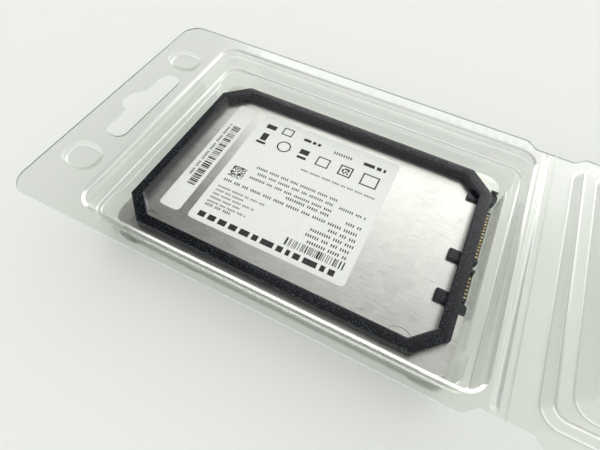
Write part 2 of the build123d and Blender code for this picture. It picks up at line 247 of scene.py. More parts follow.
def rounded_stack(cx, cy, size, profile, steps=8):
    """Rounded rectangles of one (length, width, corner), moved out by each row of a profile, closed by a
    flat end."""
    length, width, corner = size
    least_corner = 0.02
    rings = []
    for out, z, bent in profile:
        moved = rounded(cx, cy, length + 2 * out, width + 2 * out, max(corner + out, least_corner), steps)
        rings.append(at_height(moved, z, bent))
    return np.vstack(rings), tub_faces(len(rings), len(rings[0]))


def inside(points, loop):
    """Which points lie inside a closed loop, by the even and odd rule along a ray in X."""
    x, y = points[:, 0:1], points[:, 1:2]
    a, b = loop[:, :2], np.roll(loop[:, :2], -1, axis=0)
    crosses = (a[:, 1] > y) != (b[:, 1] > y)
    rise = np.where(a[:, 1] == b[:, 1], 1.0, b[:, 1] - a[:, 1])
    at = a[:, 0] + (y - a[:, 1]) / rise * (b[:, 0] - a[:, 0])
    return (np.sum(crosses & (x < at), axis=1) % 2) == 1


def within(points, outer, holes):
    """Which points lie inside an outline and outside all of its holes."""
    keep = inside(points, outer)
    for hole in holes:
        keep &= ~inside(points, hole)
    return keep


def flat_fill(outer, holes, net, clear=0.12):
    """Triangles that fill an outline around its holes, through the points of a net that keep clear of every
    loop: constrained Delaunay triangles of which those with their middle in the sheet stay, turned up."""
    loops = [outer, *holes]
    keep = within(net, outer, holes)
    for loop in loops:
        keep &= np.linalg.norm(net[:, None] - loop[None, :, :2], axis=2).min(axis=1) > clear
    points = np.vstack([loop[:, :2] for loop in loops] + [net[keep]])
    edges, start = [], 0
    for loop in loops:
        i = np.arange(len(loop))
        edges.append(np.column_stack([i, np.roll(i, -1)]) + start)
        start += len(loop)
    verts, _, faces, *_ = delaunay_2d_cdt(points.tolist(), np.vstack(edges).tolist(), [], 0, 1e-6)
    verts, faces = np.array(verts), np.array(faces)
    faces = faces[within(verts[faces].mean(axis=1), outer, holes)]
    a, b, c = (verts[faces[:, i]] for i in range(3))
    turn = (b[:, 0] - a[:, 0]) * (c[:, 1] - a[:, 1]) - (b[:, 1] - a[:, 1]) * (c[:, 0] - a[:, 0])
    faces[turn < 0] = faces[turn < 0][:, ::-1]
    return verts, faces.tolist()


def grid(x0, x1, y0, y1, step_x=NET, step_y=NET):
    """A plain grid of points."""
    x, y = np.meshgrid(np.arange(x0, x1, step_x), np.arange(y0, y1, step_y))
    return np.column_stack([x.ravel(), y.ravel()])


def piece(name, parts, body, material, replaces=(), sharp=40, thickness=None):
    """Joins parts of (points in mm, faces) into one object with its doubles merged, which rides on a body
    unless that is None. A thickness gives the skin a wall on its under side. The wall's rim shows as a cut
    edge, but not at the fold, where the film runs on."""
    points, faces, start = [], [], 0
    for part_points, part_faces in parts:
        points.append(part_points)
        faces += [[i + start for i in face] for face in part_faces]
        start += len(part_points)
    points = np.vstack(points)
    mesh = bpy.data.meshes.new(name)
    mesh.from_pydata((points[:, :3] * MM).tolist(), [], faces)
    mesh.attributes.new("bend", "FLOAT", "POINT").data.foreach_set("value", points[:, 3].astype(np.float32))
    work = bmesh.new()
    work.from_mesh(mesh)
    weld, sliver = 2e-6, 1e-7
    bmesh.ops.remove_doubles(work, verts=work.verts, dist=weld)
    bmesh.ops.dissolve_degenerate(work, edges=work.edges, dist=sliver)
    work.to_mesh(mesh)
    work.free()
    obj = bpy.data.objects.new(name, mesh)
    bpy.context.scene.collection.objects.link(obj)
    mesh.materials.append(material)
    if thickness:
        mesh.materials.append(film_edge)
        solid = obj.modifiers.new("film", "SOLIDIFY")
        solid.thickness = thickness * MM
        solid.offset = -1
        solid.material_offset_rim = 1
        mesh = bpy.data.meshes.new_from_object(obj.evaluated_get(bpy.context.evaluated_depsgraph_get()))
        obj.modifiers.clear()
        obj.data = mesh
        middles = np.empty(3 * len(mesh.polygons), np.float32)
        slots = np.empty(len(mesh.polygons), np.int32)
        mesh.polygons.foreach_get("center", middles)
        mesh.polygons.foreach_get("material_index", slots)
        slots[np.abs(middles[::3] - FOLD_X * MM) < FOLD_GAP * MM] = 0
        mesh.polygons.foreach_set("material_index", slots)
    mesh.shade_smooth()
    mesh.set_sharp_from_angle(angle=math.radians(sharp))
    if body:
        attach(obj, body)
    if replaces:
        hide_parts(*replaces)
    return obj


# Materials

MIX_COLOUR = 2  # The place of a Mix node's colour among its outputs


def tone(code):
    """A linear colour from an sRGB hex code: each channel c is c / 12.92 below 0.04045, and above it
    ((c + 0.055) / 1.055) ^ 2.4."""
    c = np.array([int(code[i:i + 2], 16) for i in (0, 2, 4)]) / 255
    return (*np.where(c <= 0.04045, c / 12.92, ((c + 0.055) / 1.055) ** 2.4), 1.0)


def add(tree, kind, inputs=None, stops=(), **settings):
    """Adds a node with its settings. An input, given by name or by place, takes a value or a socket to link.
    Stops are the (place, colour) pairs of a colour ramp."""
    node = tree.nodes.new(kind)
    for key, value in settings.items():
        setattr(node, key, value)
    for i, (place, colour) in enumerate(stops):
        element = node.color_ramp.elements[i] if i < 2 else node.color_ramp.elements.new(place)
        element.position, element.color = place, colour
    for key, value in (inputs or {}).items():
        # A Mix node has an input of one name for each type of data, and the others are off
        live = [socket for socket in node.inputs if socket.enabled and socket.name == key]
        socket = live[0] if live else node.inputs[key]
        if isinstance(value, bpy.types.NodeSocket):
            tree.links.new(value, socket)
        else:
            socket.default_value = value
    return node


def cleared(owner):
    """The empty node tree of a new material or world."""
    owner.use_nodes = True
    owner.node_tree.nodes.clear()
    return owner.node_tree


def surface(name, **inputs):
    """A material with one Principled shader; returns the material, its tree and the shader."""
    material = bpy.data.materials.new(name)
    tree = cleared(material)
    shader = add(tree, "ShaderNodeBsdfPrincipled", {k.replace("_", " "): v for k, v in inputs.items()})
    add(tree, "ShaderNodeOutputMaterial", {"Surface": shader.outputs["BSDF"]})
    return material, tree, shader


def link(tree, shader, **sockets):
    """Links sockets into the shader's inputs by name."""
    for key, socket in sockets.items():
        tree.links.new(socket, shader.inputs[key.replace("_", " ")])


def clear_pet_film():
    """Thermoformed clear PET: colourless, glossy on both sides, with slow ripples from the forming. The film is
    too thin to shift what is behind it, so it is clear plus a gloss that follows Schlick, 0.045 + 0.95
    (1 - cos)^5. The bends, where the film is curved and thickened, add 0.2 of gloss and draw the form as light
    and dark lines."""
    material = bpy.data.materials.new("thermoformed_clear_PET")
    tree = cleared(material)
    place = add(tree, "ShaderNodeTexCoord").outputs["Object"]
    # Forming ripples, about 14 mm from crest to crest
    ripple = add(tree, "ShaderNodeTexNoise", {"Vector": place, "Scale": 70.0, "Detail": 1.0}).outputs["Fac"]
    bump = add(tree, "ShaderNodeBump", {"Height": ripple, "Strength": 0.08, "Distance": 0.0006})
    normal = bump.outputs["Normal"]
    facing = add(tree, "ShaderNodeLayerWeight", {"Blend": 0.5, "Normal": normal}).outputs["Facing"]
    fifth = add(tree, "ShaderNodeMath", {0: facing, 1: 5.0}, operation="POWER").outputs["Value"]
    flat = add(tree, "ShaderNodeMath", {0: fifth, 1: 0.95, 2: 0.045}, operation="MULTIPLY_ADD").outputs["Value"]
    bent = add(tree, "ShaderNodeAttribute", attribute_name="bend").outputs["Fac"]
    share = add(tree, "ShaderNodeMath", {0: bent, 1: 0.2, 2: flat}, operation="MULTIPLY_ADD", use_clamp=True)
    clear = add(tree, "ShaderNodeBsdfTransparent", {"Color": tone("F9FAF8")})
    gloss = add(tree, "ShaderNodeBsdfGlossy", {"Color": tone("FFFFFF"), "Roughness": 0.03, "Normal": normal})
    both = add(tree, "ShaderNodeMixShader", {
        0: share.outputs["Value"], 1: clear.outputs["BSDF"], 2: gloss.outputs["BSDF"]})
    add(tree, "ShaderNodeOutputMaterial", {"Surface": both.outputs["Shader"]})
    return material


def die_cut_edge():
    """The cut edge of the film: whitened by the die, so that it shows as a fine pale line from outside. Where
    it is seen from inside, through the film, its back faces are painted grey as painted shade, a fine grey
    line."""
    material, tree, shader = surface(
        "die_cut_PET_edge", Base_Color=tone("F4F6F6"), Roughness=0.4, IOR=1.55, Transmission_Weight=0.2)
    place = add(tree, "ShaderNodeTexCoord").outputs["Object"]
    # Shear marks of the die, about 0.3 mm
    marks = add(tree, "ShaderNodeTexNoise", {"Vector": place, "Scale": 3000.0, "Detail": 1.0}).outputs["Fac"]
    outside = add(tree, "ShaderNodeValToRGB", {"Fac": marks}, [(0.3, tone("E6EAEA")), (0.7, tone("FCFDFD"))])
    painted_shade_behind = add(tree, "ShaderNodeNewGeometry").outputs["Backfacing"]
    # Painted shade: the back faces, seen from inside through the film, get a darker grey colour
    colour = add(tree, "ShaderNodeMix", {
        "Factor": painted_shade_behind, "A": outside.outputs["Color"], "B": tone("8E9492")}, data_type="RGBA")
    link(tree, shader, Base_Color=colour.outputs[MIX_COLOUR])
    return material


def spark_eroded_abs():
    """Black ABS moulded in a spark eroded tool: a matt grain that breaks the gloss into fine specks, and pale
    blue grey specks painted into its colour on the grain's peaks as painted glints.
    """
    material, tree, shader = surface("moulded_black_ABS", Base_Color=tone("050608"), Roughness=0.2, IOR=1.46)
    place = add(tree, "ShaderNodeTexCoord").outputs["Object"]
    # Grain of about 0.4 mm, drawn coarser than the real 0.1 mm so that it shows
    grain = add(tree, "ShaderNodeTexNoise", {
        "Vector": place, "Scale": 2600.0, "Detail": 2.0, "Roughness": 0.6}).outputs["Fac"]
    bump = add(tree, "ShaderNodeBump", {"Height": grain, "Strength": 0.25, "Distance": 0.00008})
    # The ramp's pale blue grey top paints glints on the grain's peaks: painted highlights
    colour = add(tree, "ShaderNodeValToRGB", {"Fac": grain}, [
        (0.4, tone("010102")), (0.57, tone("06080C")), (0.69, tone("454E62"))])
    link(tree, shader, Base_Color=colour.outputs["Color"], Normal=bump.outputs["Normal"])
    return material


def blasted_aluminium():
    """Rolled and blasted aluminium sheet: pale and satin, with fine streaks, rubbed marks and a few smears."""
    material, tree, shader = surface(
        "rolled_blasted_aluminium", Base_Color=tone("D8D9D5"), Metallic=1.0, Roughness=0.38)
    place = add(tree, "ShaderNodeTexCoord").outputs["Object"]
    # Streaks about 0.6 mm wide and 4 mm long
    rolled = add(tree, "ShaderNodeMapping", {
        "Vector": place, "Rotation": (0, 0, math.radians(18)), "Scale": (250.0, 1600.0, 400.0)})
    streak = add(tree, "ShaderNodeTexNoise", {
        "Vector": rolled.outputs["Vector"], "Scale": 1.0, "Detail": 3.0}).outputs["Fac"]
    # Clouds about 10 mm across, with hard borders where a finger or a cloth has polished the sheet
    cloud = add(tree, "ShaderNodeTexNoise", {
        "Vector": place, "Scale": 95.0, "Detail": 3.0, "Roughness": 0.5}).outputs["Fac"]
    smear = add(tree, "ShaderNodeMapRange", {
        "Value": cloud, "From Min": 0.54, "From Max": 0.58}).outputs["Result"]
    # Rubbed scratches about 1 mm wide and 4 mm long
    along = add(tree, "ShaderNodeMapping", {
        "Vector": place, "Rotation": (0, 0, math.radians(-35)), "Scale": (260.0, 1100.0, 400.0)})
    scratch = add(tree, "ShaderNodeTexNoise", {
        "Vector": along.outputs["Vector"], "Scale": 1.0, "Detail": 4.0, "Roughness": 0.7}).outputs["Fac"]
    marks = add(tree, "ShaderNodeMapRange", {
        "Value": scratch, "From Min": 0.6, "From Max": 0.68}).outputs["Result"]
    # Colour: the streaks and clouds, then the scratches a little darker, then the smears duller
    mottle = add(tree, "ShaderNodeMix", {
        "Factor": 0.5, "A": streak, "B": cloud}, data_type="FLOAT").outputs["Result"]
    sheet = add(tree, "ShaderNodeValToRGB", {"Fac": mottle}, [(0.3, tone("C8CAC6")), (0.7, tone("E3E4DE"))])
    rubbed = add(tree, "ShaderNodeMix", {
        "Factor": marks, "A": sheet.outputs["Color"], "B": tone("BEC2BF")}, data_type="RGBA")
    wiped = add(tree, "ShaderNodeMath", {0: smear, 1: 0.14}, operation="MULTIPLY").outputs["Value"]
    dull = add(tree, "ShaderNodeMix", {
        "Factor": wiped, "A": rubbed.outputs[MIX_COLOUR], "B": tone("A9AEAC")}, data_type="RGBA")
    # Roughness: 0.28 to 0.36 with the mottle, 0.03 less in a smear
    satin = add(tree, "ShaderNodeMapRange", {
        "Value": mottle, "From Min": 0.3, "From Max": 0.7, "To Min": 0.28, "To Max": 0.36}).outputs["Result"]
    rough = add(tree, "ShaderNodeMath", {0: smear, 1: -0.03, 2: satin}, operation="MULTIPLY_ADD")
    bump = add(tree, "ShaderNodeBump", {"Height": scratch, "Strength": 0.08, "Distance": 0.00005})
    link(tree, shader, Base_Color=dull.outputs[MIX_COLOUR], Roughness=rough.outputs["Value"],
         Normal=bump.outputs["Normal"])
    return material


def coated_paper():
    """Coated label paper: white, faintly fibrous, with a low sheen."""
    material, tree, shader = surface("coated_label_paper", Base_Color=tone("E4E6E3"), Roughness=0.5)
    place = add(tree, "ShaderNodeTexCoord").outputs["Object"]
    # Flocks of fibre of about 1.1 mm, drawn much coarser than single fibres so that they show
    fibre = add(tree, "ShaderNodeTexNoise", {"Vector": place, "Scale": 900.0, "Detail": 3.0}).outputs["Fac"]
    colour = add(tree, "ShaderNodeValToRGB", {"Fac": fibre}, [(0.3, tone("E9ECE8")), (0.7, tone("EFF1EE"))])
    bump = add(tree, "ShaderNodeBump", {"Height": fibre, "Strength": 0.04, "Distance": 0.00003})
    link(tree, shader, Base_Color=colour.outputs["Color"], Normal=bump.outputs["Normal"])
    return material


def printed_ink():
    """Printed ink, matt dark grey, a little thin in places."""
    material, tree, shader = surface("printed_ink", Base_Color=tone("1C1D1E"), Roughness=0.6)
    place = add(tree, "ShaderNodeTexCoord").outputs["Object"]
    # Thin places of about 0.7 mm
    spread = add(tree, "ShaderNodeTexNoise", {"Vector": place, "Scale": 1500.0, "Detail": 1.0}).outputs["Fac"]
    colour = add(tree, "ShaderNodeValToRGB", {"Fac": spread}, [(0.3, tone("161718")), (0.7, tone("2A2C2D"))])
    link(tree, shader, Base_Color=colour.outputs["Color"])
    return material


def grained(name, dark, light, roughness, grain_mm, metallic=0.0):
    """A plain material whose colour wanders between two tones over a grain given in millimetres. Each of these
    grains is drawn coarser than the real one, so that it shows."""
    material, tree, shader = surface(name, Base_Color=tone(dark), Roughness=roughness, Metallic=metallic)
    place = add(tree, "ShaderNodeTexCoord").outputs["Object"]
    noise = add(tree, "ShaderNodeTexNoise", {
        "Vector": place, "Scale": 1000.0 / grain_mm, "Detail": 2.0}).outputs["Fac"]
    bump = add(tree, "ShaderNodeBump", {"Height": noise, "Strength": 0.15, "Distance": 0.00004})
    colour = add(tree, "ShaderNodeValToRGB", {"Fac": noise}, [(0.3, tone(dark)), (0.7, tone(light))])
    link(tree, shader, Base_Color=colour.outputs["Color"], Normal=bump.outputs["Normal"])
    return material


film = clear_pet_film()
film_edge = die_cut_edge()
abs_black = spark_eroded_abs()
aluminium = blasted_aluminium()
paper = coated_paper()
ink = printed_ink()
# Liquid crystal polymer moulded in the plug's shape: charcoal and half matt, mottled where it flowed
plug_black = grained("moulded_black_LCP", "2B3033", "3C4347", 0.45, 0.5)
# Gold plated over copper strip: a soft warm shine, brownish and pale from place to place
gold = grained("gold_plated_copper", "8E7A50", "C8BC98", 0.25, 0.6, metallic=1.0)
# Solder mask cured over a laminate: dark green and half glossy, with a slight orange peel
laminate = grained("green_solder_mask", "0F3B22", "16492C", 0.35, 1.2)
# Filled epoxy moulded round a chip: near black and matt, with grey filler grains
chip_epoxy = grained("moulded_chip_epoxy", "151617", "222425", 0.6, 0.4)
# Zinc plated over steel: a pale grey metal with a satin, slightly spangled shine
screw_steel = grained("zinc_plated_steel", "9C9C98", "B5B5B0", 0.35, 0.5, metallic=1.0)
# Filled silicone cast as a soft sheet: blue grey, quite matt and a little cloudy
silicone = grained("silicone_gap_pad", "7F8C9A", "8E9AA7", 0.8, 1.0)
# Fired ceramic: tan, dull and finely speckled
ceramic = grained("fired_ceramic", "9A7A52", "B08E63", 0.5, 0.4)


# The tray and the lid

def flange_outline():
    """The tray's flange from above: round hang corners, S curves down to the neck along a smooth step, and a
    straight edge at the fold."""
    start = FLANGE_LOW + FLANGE_CORNER
    x = stretches([start, *NECK_RUN, 57.0, FOLD_X - FOLD_GAP / 2], (59, 14, 1, 1))
    narrowing = smooth((x - NECK_RUN[0]) / (NECK_RUN[1] - NECK_RUN[0]))
    side = np.column_stack([x, FLANGE_HALF + (NECK_HALF - FLANGE_HALF) * narrowing])
    upper = np.vstack([arc(start, FLANGE_HALF - FLANGE_CORNER, FLANGE_CORNER, 180, 90, 12)[:-1], side])
    lower = (upper * (1, -1))[::-1]
    return np.vstack([upper, lower])[::-1]


def slot_outline():
    """The hang slot: a rounded bar 6.7 by 30.5 mm with a round crown of 5.05 mm radius on its outer side."""
    left, right = SLOT_X - SLOT_HALF_WIDTH, SLOT_X + SLOT_HALF_WIDTH
    end = SLOT_HALF_LENGTH - SLOT_CORNER
    reach = math.sqrt(CROWN_RADIUS ** 2 - (left - CROWN_X) ** 2)
    start = math.degrees(math.atan2(reach, left - CROWN_X))
    return np.vstack([
        arc(right - SLOT_CORNER, -end, SLOT_CORNER, -90, 0, 8),
        arc(right - SLOT_CORNER, end, SLOT_CORNER, 0, 90, 8),
        arc(left + SLOT_CORNER, end, SLOT_CORNER, 90, 180, 8),
        arc(CROWN_X, 0, CROWN_RADIUS, start, 360 - start, 20),
        arc(left + SLOT_CORNER, -end, SLOT_CORNER, 180, 270, 8)[:-1],
    ])


def bead(x, y):
    """The fold bead's depth under the flange and how strongly it bends the film. With u the distance from the
    bead's middle over its half width, up to 1, the depth is BEAD_DEPTH (1 + cos(pi u)) / 2 and the bend
    sin(pi u), and both fade out at the bead's ends along a smooth step."""
    u = np.clip(np.abs(x - BEAD_X) / BEAD_HALF_WIDTH, 0, 1)
    along = smooth((BEAD_HALF_LENGTH - np.abs(y)) / BEAD_FADE)
    return BEAD_DEPTH * 0.5 * (1 + np.cos(np.pi * u)) * along, np.sin(np.pi * u) * along


def snap_profile(lip, start, shoulder, end, lip_bend):
    """A cup's or a stud's profile: a lip that leaves the flange level and ends where the wall starts, a
    shoulder that ends level, and two more rings on the flat end. Each place is (out, z)."""
    return np.vstack([
        bend(lip, FLANGE_TOP, *start, 4, upright_first=False, strength=lip_bend),
        bend(*shoulder, *end, 4, strength=0.5),
        straight((-2.0, end[1]), (-3.4, end[1])),
    ])


def tray_film():
    """The tray as one skin: a flat flange net, then rings down the recess, its groove, the ledge and the
    pocket. The groove stands out from the wall by GROOVE_DEPTH sin^2 from its top to its end."""
    rim = course(RIM_OUT, FLANGE_TOP, steps=[0.08] * 4 + [0.65] + [0.07] * 6,
                 slopes=[5, 12, 19, 25, 27, 34, 45, 56, 67, 77, 86])
    groove_z = np.linspace(GROOVE_TOP, GROOVE_END, 9)
    swell = np.sin(np.pi * (GROOVE_TOP - groove_z) / (GROOVE_TOP - GROOVE_END)) ** 2
    groove = np.column_stack([
        wall_out(groove_z, FLANGE_TOP) + GROOVE_DEPTH * swell, groove_z, GROOVE_BEND * swell])
    low = course(wall_out(FOOT_TOP, FLANGE_TOP), FOOT_TOP, steps=[0.08] * 6 + [0.3] + [0.08] * 3,
                 slopes=[86, 77, 67, 56, 45, 34, 27, 19, 11, 3])
    low[-1, 1] = LEDGE_TOP
    over, under = (straight((wall_out(z, FLANGE_TOP), z)) for z in (17.6, 14.0))
    recess = np.vstack([rim, over, groove, under, low])
    lip = bend(LIP_OUT, LEDGE_TOP, wall_out(LIP_END, LEDGE_TOP), LIP_END, 5, upright_first=False)
    wall = straight(*[(wall_out(z, LEDGE_TOP), z) for z in (8.0, 4.0)])
    at_foot = wall_out(POCKET_FOOT, LEDGE_TOP)
    pocket = np.vstack([lip, wall, bend(at_foot, POCKET_FOOT, at_foot - POCKET_FOOT_REACH, FILM, 5)])
    rings = np.vstack([tub_stack(RECESS, recess), tub_stack(POCKET, pocket)])
    count = len(recess) + len(pocket)

    length, width, corner = CUP
    cup_profile = snap_profile(
        lip=CUP_LIP, start=(-0.1, 18.7), shoulder=(-0.35, 17.65), end=(-0.85, 17.2), lip_bend=0.35)
    mouths = [rounded(SNAP_X, y, length + 2 * CUP_LIP, width + 2 * CUP_LIP, corner + CUP_LIP)
              for y in (-SNAP_Y, SNAP_Y)]
    cups = [rounded_stack(SNAP_X, y, CUP, cup_profile) for y in (-SNAP_Y, SNAP_Y)]
    # A coarse net over the flange, and a fine one along the bead
    net = np.vstack([grid(-71, 55, -42, 42), grid(BEAD_X - 1.2, BEAD_X + 1.21, -39.6, 39.9, 0.15, 1.2)])
    verts, triangles = flat_fill(
        flange_outline(), [tub_ring(RECESS, rim[0, 0], FLANGE_TOP), slot_outline(), *mouths], net)
    drop, bent = bead(verts[:, 0], verts[:, 1])
    parts = [(np.column_stack([verts, FLANGE_TOP - drop, bent]), triangles),
             (rings, tub_faces(count, len(rings) // count)), *cups]
    piece("tray_film", parts, "tray", film, ["base_tray"], sharp=60, thickness=FILM)


def across_fold(loop):
    """An outline of the tray's flange turned over to the lid's: x becomes 2 FOLD_X - x, in reverse order."""
    return (loop * (-1, 1) + (2 * FOLD_X, 0))[::-1]


def rise(base, top, lean, lip, start, middle, shoulder, reach):
    """A wall's profile from a base height to a flat top: a lip that leaves the base level and ends where the
    wall starts, the wall, which leans in by its height times the lean, and a shoulder with a level reach."""
    middle_out, shoulder_out = -(middle - base) * lean, -(shoulder - base) * lean
    return np.vstack([
        bend(lip, base, *start, 4, upright_first=False),
        straight((middle_out, middle)),
        bend(shoulder_out, shoulder, shoulder_out - reach, top, 6),
    ])


def lid_film():
    """The lid as one skin: a flat flange net, then rings up the plug's step and plateau, and two studs."""
    step = rise(FLANGE_TOP, STEP_TOP, STEP_LEAN, lip=0.5, start=(-0.12, 19.5), middle=20.5, shoulder=21.5,
                reach=1.1)
    plateau = rise(STEP_TOP, PLATEAU_TOP, PLATEAU_LEAN, lip=0.45, start=(-0.1, 22.8), middle=25.0,
                   shoulder=27.2, reach=1.0)
    rings = np.vstack([tub_stack(PLUG, step), tub_stack(PLATEAU, plateau)])
    count = len(step) + len(plateau)

    stud_x = 2 * FOLD_X - SNAP_X
    stud_profile = snap_profile(
        lip=0.0, start=(-0.33, 19.25), shoulder=(-0.5, 19.75), end=(-0.9, 20.1), lip_bend=0.5)
    feet = [rounded(stud_x, y, *CUP) for y in (-SNAP_Y, SNAP_Y)]
    studs = [rounded_stack(stud_x, y, CUP, stud_profile) for y in (-SNAP_Y, SNAP_Y)]
    holes = [tub_ring(PLUG, step[0, 0], FLANGE_TOP), across_fold(slot_outline()), *feet]
    verts, triangles = flat_fill(across_fold(flange_outline()), holes, grid(64, 191, -42, 42))
    parts = [(at_height(verts, FLANGE_TOP), triangles),
             (rings, tub_faces(count, len(rings) // count)), *studs]
    piece("lid_film", parts, "lid", film, ["lid"], sharp=60, thickness=FILM)


def fold_strip():
    """The thinned film of the fold: a groove's section drawn along Y. Across the gap, t from 0 to 1, the film's
    half thickness is FILM / 2 - FOLD_THINNED sin^2(pi t) about its middle, and its bend is |sin(2 pi t)|."""
    t = np.linspace(0, 1, 13)
    x = FOLD_X - FOLD_GAP / 2 + FOLD_GAP * t
    half = FILM / 2 - FOLD_THINNED * np.sin(np.pi * t) ** 2
    middle = FLANGE_TOP - FILM / 2
    bent = np.abs(np.sin(2 * np.pi * t))
    top = np.column_stack([x, middle + half, bent])
    under = np.column_stack([x, middle - half, bent])[::-1]
    loop = np.vstack([top, under])
    y = np.linspace(-NECK_HALF, NECK_HALF, 41)
    points = np.tile(loop, (len(y), 1))
    points = np.column_stack([points[:, 0], np.repeat(y, len(loop)), points[:, 1:]])
    ends = [list(range(len(loop))), list(range(len(points) - len(loop), len(points)))[::-1]]
    faces = ring_faces(len(y), len(loop))[:, ::-1].tolist() + ends
    strip = piece("fold_strip", [(points, faces)], None, film)
    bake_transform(strip)


tray_film()
lid_film()
fold_strip()


# The spacer frame

def cut_loop(x_low, x_high, half, cut_x, cut_y, out):
    """A rectangle with cut corners, its sides moved out. Each of its eight corners c is eased between points a
    and b on the sides by the curve (1 - t)^2 a + 2 t (1 - t) c + t^2 b."""
    ease = 0.35
    base = np.array([
        (x_high, -half + cut_y), (x_high, half - cut_y), (x_high - cut_x, half), (x_low + cut_x, half),
        (x_low, half - cut_y), (x_low, -half + cut_y), (x_low + cut_x, -half), (x_high - cut_x, -half),
    ])
    along = np.roll(base, -1, axis=0) - base
    along /= np.linalg.norm(along, axis=1)[:, None]
    normal = np.column_stack([along[:, 1], -along[:, 0]])
    before = np.roll(normal, 1, axis=0)
    corner = base + out * (before + normal) / (1 + np.sum(before * normal, axis=1))[:, None]
    t = np.linspace(0, 1, 5)[None, :, None]
    a = corner - np.roll(along, 1, axis=0) * ease
    b = corner + along * ease
    return ((1 - t) ** 2 * a[:, None] + 2 * t * (1 - t) * corner[:, None] + t ** 2 * b[:, None]).reshape(-1, 2)


def spacer():
    """The spacer frame: outer and inner walls that lean by a draft, joined over round top edges, and three
    low tabs. Along a round edge of radius r, out is -draft - r (1 - cos a) and z is top - r (1 - sin a)."""
    turn = np.linspace(0, np.pi / 2, 6)
    over_out = -SPACER_DRAFT - SPACER_EDGE * (1 - np.cos(turn))
    over = np.column_stack([over_out, SPACER_TOP - SPACER_EDGE + SPACER_EDGE * np.sin(turn)])
    profile = np.vstack([[(0.0, COVER_TOP), (-0.03, 8.5)], over])
    rings = [at_height(cut_loop(**SPACER, out=out), z) for out, z in profile]
    rings += [at_height(cut_loop(**WINDOW, out=-out), z) for out, z in profile[::-1]]
    tab = straight((0.0, COVER_TOP), (0.0, 8.0), (-0.06, 8.14), (-0.2, TAB_TOP), (-0.5, TAB_TOP))
    tabs = [rounded_stack(TAB_X, y, TAB, tab, steps=5) for y in TAB_Y]
    parts = [(np.vstack(rings), ring_faces(len(rings), len(rings[0])).tolist()), *tabs]
    piece("spacer_moulding", parts, "tray", abs_black, ["spacer_frame"], sharp=50)


spacer()


# Print on the labels: plain ticks, bars, stripes, dots and boxes as rows of (x0, x1, y0, y1), and a ring

MARKS = 60  # More groups or bars than any line holds


def tick_row(x0, x1, y, height):
    """A line of print as upright ticks of one height at an even pitch, with a gap after each group."""
    pitch, stem, tall = 0.52 * height, max(0.26 * height, 0.18), 0.7 * height
    ticks = np.arange(x0, x1 - stem, pitch)
    gaps = np.cumsum(rng.integers(4, 10, MARKS))
    ticks = np.delete(ticks, gaps[gaps < len(ticks)])
    low = np.full(len(ticks), y - tall / 2)
    return np.column_stack([ticks, ticks + stem, low, low + tall])


def bar_row(x0, x1, y, height):
    """A line of bold print as solid bars. A bar and its space are as long as 1 to 2.9 times the height."""
    ends = x0 + np.cumsum(rng.uniform(1.6, 4.6, MARKS) * height / 1.6)
    ends = ends[ends < x1]
    starts = np.concatenate([[x0], ends[:-1] + 0.55 * height])
    low = np.full(len(ends), y - height / 2)
    return np.column_stack([starts, ends, low, low + height])


def stripes(x0, x1, y0, y1, unit=0.2):
    """A row of stripes across X: every second interval of a run of random widths, in whole units."""
    widths = rng.choice([1, 1, 2, 3], 4 * int((x1 - x0) / unit)) * unit
    ends = x0 + np.cumsum(widths)
    ends = ends[ends < x1]
    ends = ends[:len(ends) // 2 * 2].reshape(-1, 2)
    return np.column_stack([ends, np.full(len(ends), y0), np.full(len(ends), y1)])


def dot_square(x0, y0, size, count):
    """A square of count by count cells of which about half are filled."""
    cell = size / count
    i, j = np.nonzero(rng.random((count, count)) < 0.52)
    return np.column_stack([x0 + i * cell, x0 + (i + 1) * cell, y0 + j * cell, y0 + (j + 1) * cell])


def frame_box(x0, x1, y0, y1, line):
    """The four sides of a box drawn with one line width."""
    return np.array([
        (x0, x1, y0, y0 + line), (x0, x1, y1 - line, y1), (x0, x0 + line, y0, y1), (x1 - line, x1, y0, y1)])


def turned(rects):
    """Rectangles with X and Y swapped, for print that runs along Y."""
    return rects[:, [2, 3, 0, 1]]


